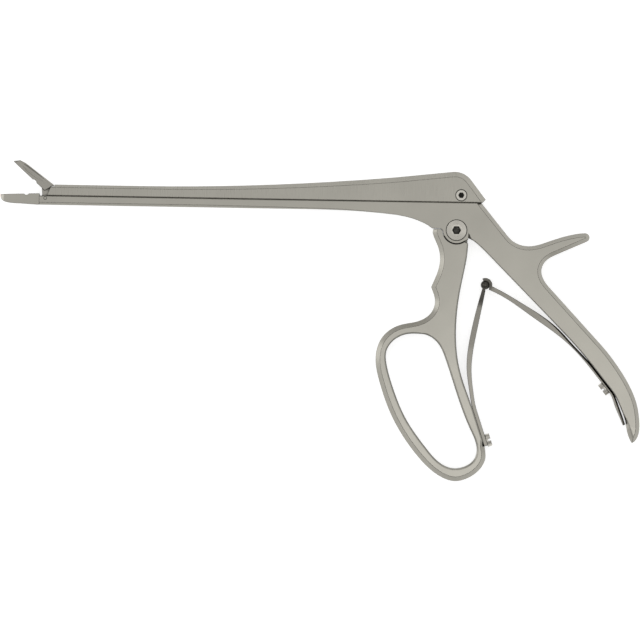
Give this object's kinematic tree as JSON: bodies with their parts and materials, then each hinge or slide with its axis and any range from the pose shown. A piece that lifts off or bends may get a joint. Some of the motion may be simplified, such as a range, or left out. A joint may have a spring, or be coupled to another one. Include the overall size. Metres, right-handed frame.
{
  "type": "pituitary rongeur",
  "caption": "Long-shafted surgical rongeur: squeezing the spring-opened handles pushes a sliding bar that shuts a small cupped jaw.",
  "frame": {"origin": "axis of the main pivot screw, in the lower face that the instrument lies on", "axes": "+X along the shaft towards the hand, +Y up in the plane of the handles, +Z through the thickness to the screw-head side"},
  "size_m": [0.2573, 0.1259, 0.0064],
  "materials": {
    "satin_body": "satin, fine ground",
    "screw_steel": "turned, semi-bright",
    "spring_steel": "satin",
    "pin_steel": "ground flush"
  },
  "bodies": {
    "frame": {"main_frame": "satin_body", "pivot_screw": "screw_steel", "pivot_sleeve": "screw_steel", "jaw_pivot_pin": "pin_steel", "rear_spring_screw": "screw_steel", "rear_spring_pin": "pin_steel"},
    "handle": {"finger_loop_handle": "satin_body", "front_spring_screw": "screw_steel", "front_spring_pin": "pin_steel"},
    "slide": {"slide_bar": "satin_body", "drive_screw": "screw_steel", "drive_sleeve": "screw_steel"},
    "jaw": {"moving_jaw": "satin_body", "jaw_drive_pin": "pin_steel"},
    "front_spring": {"front_leaf_spring": "spring_steel"},
    "rear_spring": {"rear_leaf_spring": "spring_steel"}
  },
  "joints": [
    {"name": "handle_squeeze", "type": "hinge", "parent": "frame", "child": "handle", "pos_m": [0, 0, 0.0032], "axis": [0, 0, 1], "range_deg": [0, 11.95], "stiffness_Nm_per_rad": 2, "springref_deg": -8.59},
    {"name": "slide_travel", "type": "slide", "parent": "frame", "child": "slide", "axis": [-1, 0, 0], "range_m": [0, 0.00294]},
    {"name": "jaw_close", "type": "hinge", "parent": "frame", "child": "jaw", "pos_m": [-0.1648, 0.01015, 0.0032], "axis": [0, 0, 1], "range_deg": [0, 44.5]},
    {"name": "front_spring_flex", "type": "hinge", "parent": "handle", "child": "front_spring", "pos_m": [0.0066, -0.063, 0.0032], "axis": [0, 0, 1], "range_deg": [0, 3.26], "deforming": ["front_leaf_spring"]},
    {"name": "rear_spring_flex", "type": "hinge", "parent": "frame", "child": "rear_spring", "pos_m": [0.0445, -0.043, 0.0032], "axis": [0, 0, 1], "range_deg": [-4.9, 0], "deforming": ["rear_leaf_spring"]}
  ],
  "couplings": [
    {"joint": "slide_travel", "follows": "handle_squeeze", "m_per_rad": 0.014083},
    {"joint": "jaw_close", "follows": "handle_squeeze", "ratio": 3.7226},
    {"joint": "front_spring_flex", "follows": "handle_squeeze", "ratio": 0.26842},
    {"joint": "rear_spring_flex", "follows": "handle_squeeze", "ratio": -0.406}
  ]
}
